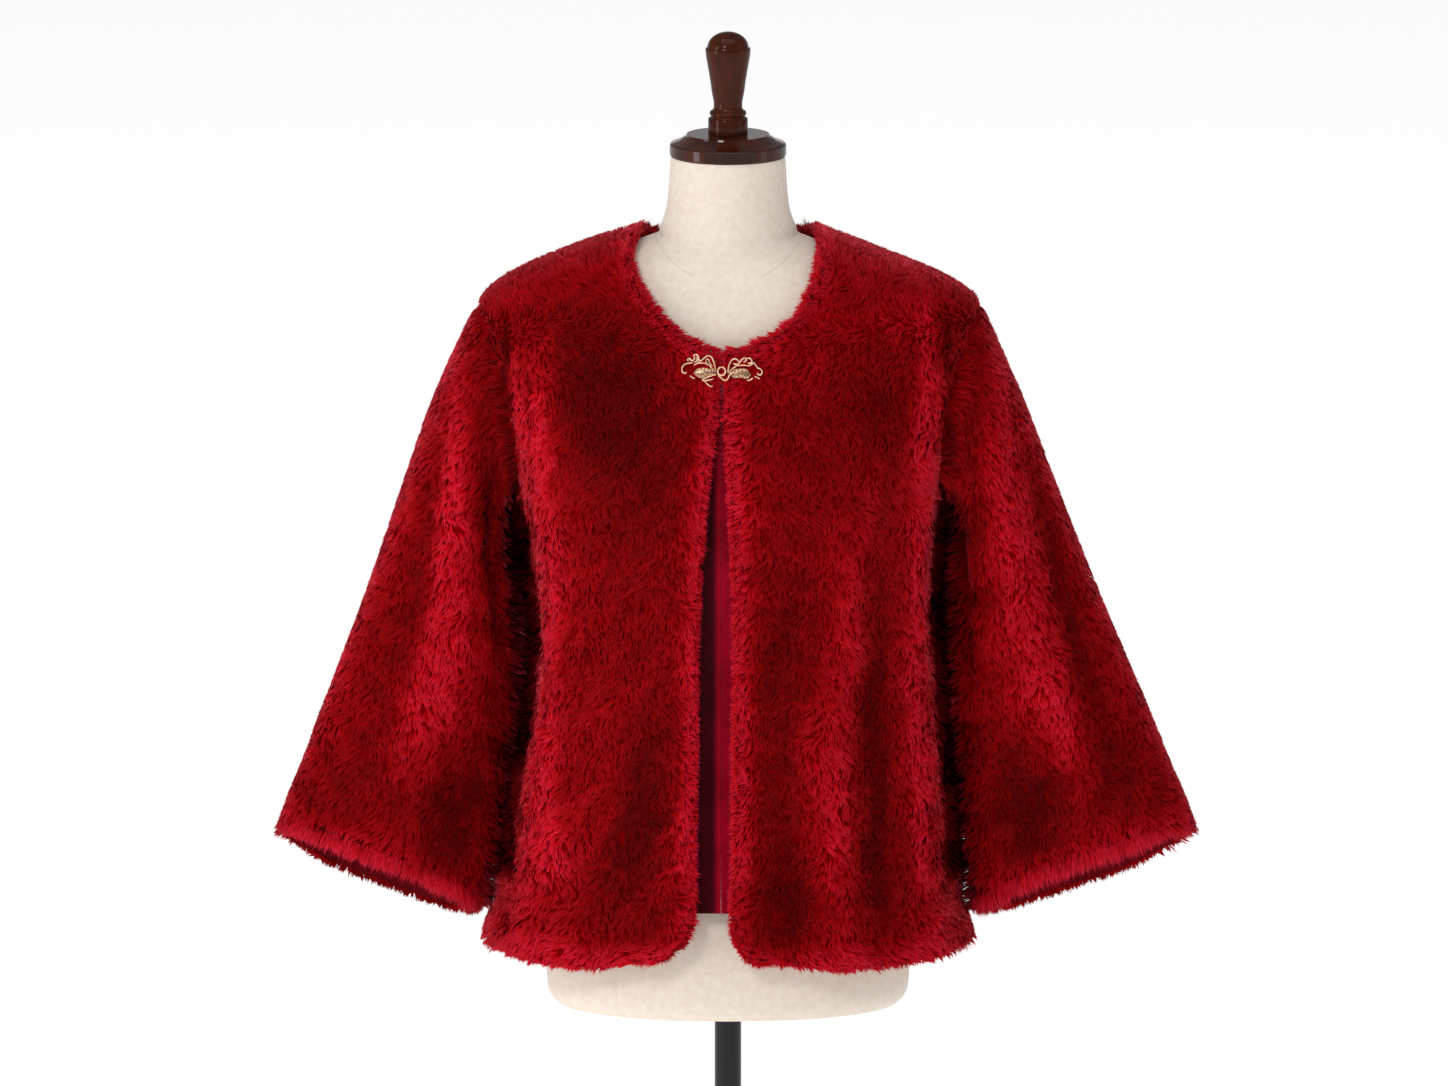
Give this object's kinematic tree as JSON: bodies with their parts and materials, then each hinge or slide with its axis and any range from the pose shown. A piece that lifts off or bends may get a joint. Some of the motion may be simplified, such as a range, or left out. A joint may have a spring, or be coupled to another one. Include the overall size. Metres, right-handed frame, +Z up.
{
  "type": "fur jacket on a limbless dress form",
  "caption": "Collarless open-front fur jacket with bell sleeves and a filigree neck clasp, resting on a limbless dress form with a wooden neck cap, pole and round foot.",
  "frame": {"origin": "centre of the round foot's underside, on the floor", "axes": "+Z up along the pole and through the neck, the wearer faces -Y, the wearer's left sleeve is toward +X"},
  "size_m": [0.8558, 0.3053, 1.5721],
  "materials": {
    "fur_red": "dense red faux fur pile, 10 to 12 mm, on a knitted backing with a crimson satin inside",
    "satin_crimson": "crimson satin with a soft sheen",
    "brass_gold": "pale gold plated cast filigree, polished high spots",
    "linen_natural": "tight natural linen over a firm foam body",
    "mahogany": "turned mahogany with dark stain and gloss lacquer",
    "steel_dark": "satin dark grey painted steel"
  },
  "bodies": {
    "root": {"jacket_back": "fur_red", "jacket_front_left": "fur_red", "jacket_front_right": "fur_red", "sleeve_left": "fur_red", "sleeve_right": "fur_red", "facing_left": "satin_crimson", "facing_right": "satin_crimson", "clasp_scroll_left": "brass_gold", "clasp_scroll_right": "brass_gold", "clasp_leaf_left": "brass_gold", "clasp_leaf_right": "brass_gold", "clasp_ring": "brass_gold", "form_body": "linen_natural", "cap_disc": "mahogany", "finial": "mahogany", "stand_pole": "steel_dark", "stand_base": "steel_dark"}
  },
  "joints": []
}
